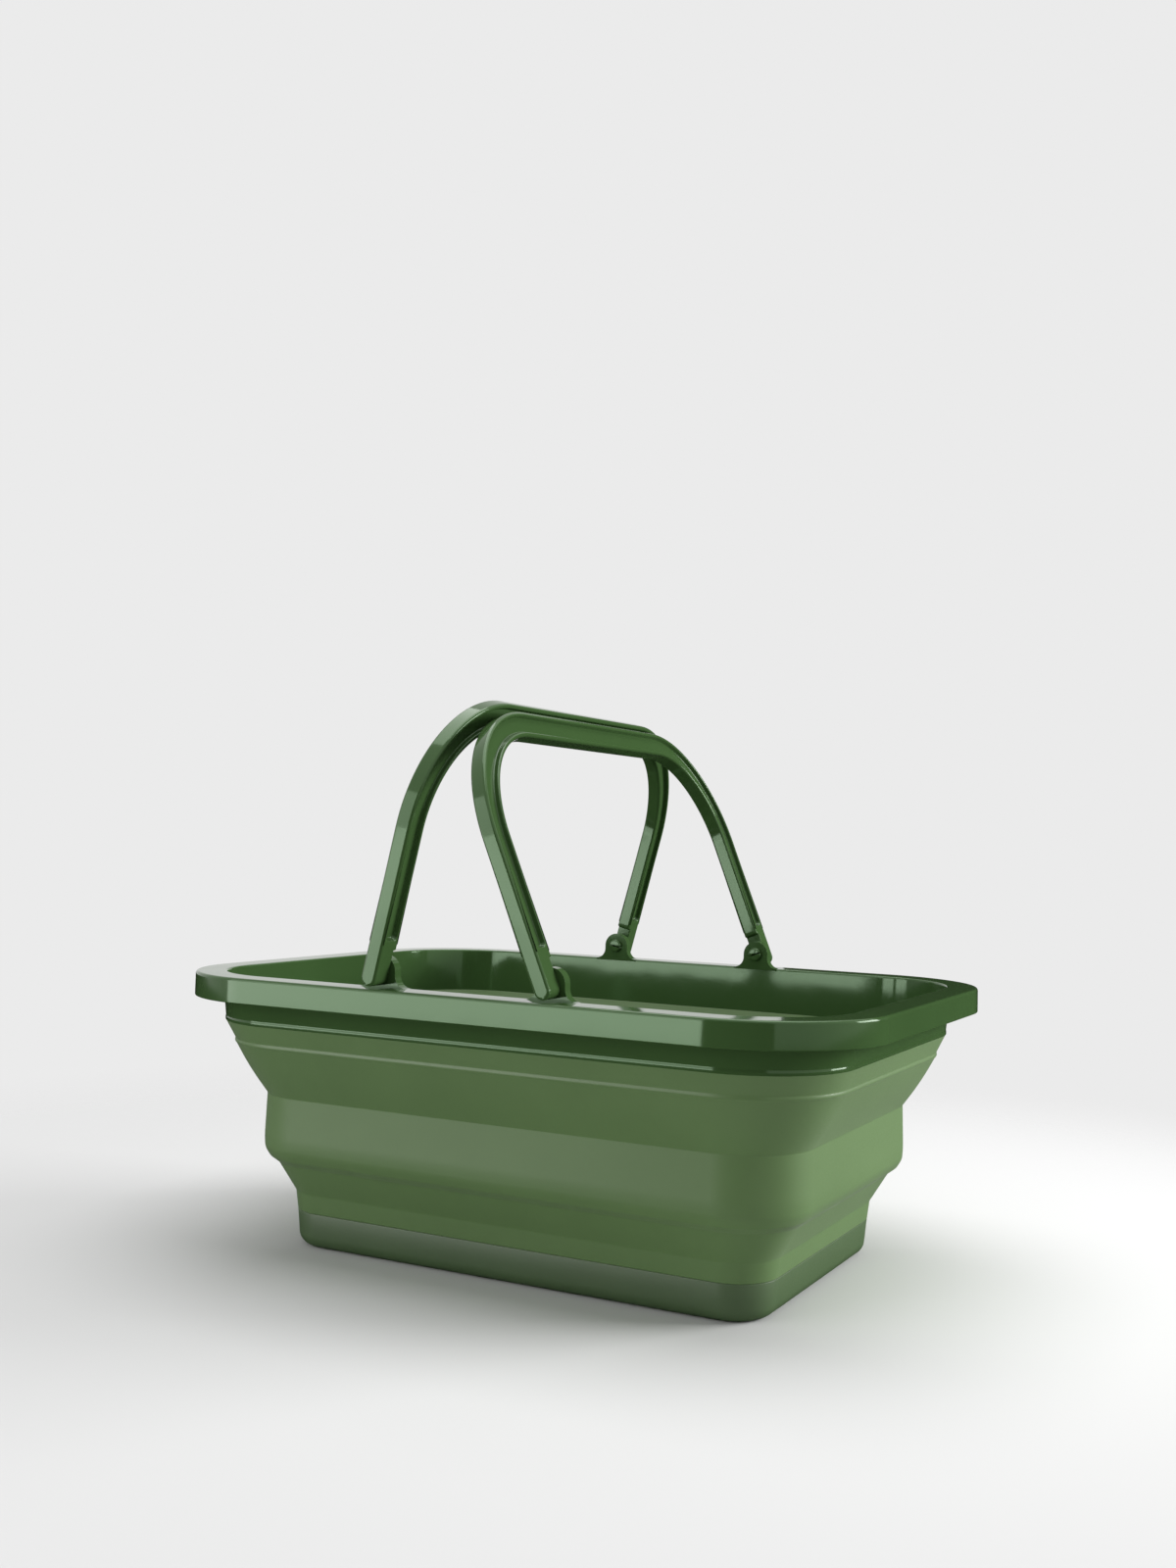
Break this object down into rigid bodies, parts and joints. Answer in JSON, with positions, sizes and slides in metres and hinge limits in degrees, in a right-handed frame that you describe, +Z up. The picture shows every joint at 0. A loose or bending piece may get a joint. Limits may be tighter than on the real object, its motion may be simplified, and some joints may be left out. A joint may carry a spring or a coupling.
{
  "type": "collapsible crate",
  "caption": "Collapsible crate with rounded corners, a soft bellows wall between a hard rim and a hard base tray, and two swing handles in ears on the rim.",
  "frame": {"origin": "centre of the base on the surface that the crate stands on", "axes": "+X along the crate towards the right handle's side, +Y across it, +Z up"},
  "size_m": [0.38, 0.28, 0.2902],
  "materials": {
    "base_matt": "matt moulded plastic, dark green",
    "bellows_soft": "satin thermoplastic rubber, mid green",
    "rim_gloss": "glossy moulded plastic, deep green"
  },
  "bodies": {
    "base": {"base_tray": "base_matt", "bellows_bottom_cuff": "bellows_soft", "bellows_lower_fold": "bellows_soft"},
    "middle_band": {"bellows_middle_band": "bellows_soft", "bellows_upper_fold": "bellows_soft"},
    "rim": {"rim_frame": "rim_gloss", "bellows_top_cuff": "bellows_soft"},
    "left_handle": {"left_handle": "rim_gloss", "left_handle_pins": "rim_gloss"},
    "right_handle": {"right_handle": "rim_gloss", "right_handle_pins": "rim_gloss"}
  },
  "joints": [
    {"name": "lower_fold_collapse", "type": "slide", "parent": "base", "child": "middle_band", "axis": [0, 0, -1], "range_m": [0, 0.043], "deforming": ["bellows_lower_fold"]},
    {"name": "upper_fold_collapse", "type": "slide", "parent": "middle_band", "child": "rim", "axis": [0, 0, -1], "range_m": [0, 0.055], "deforming": ["bellows_upper_fold"]},
    {"name": "left_handle_swing", "type": "hinge", "parent": "rim", "child": "left_handle", "pos_m": [-0.0465, 0, 0.158], "axis": [0, -1, 0], "range_deg": [0, 106]},
    {"name": "right_handle_swing", "type": "hinge", "parent": "rim", "child": "right_handle", "pos_m": [0.0465, 0, 0.158], "axis": [0, 1, 0], "range_deg": [0, 114.2]}
  ]
}
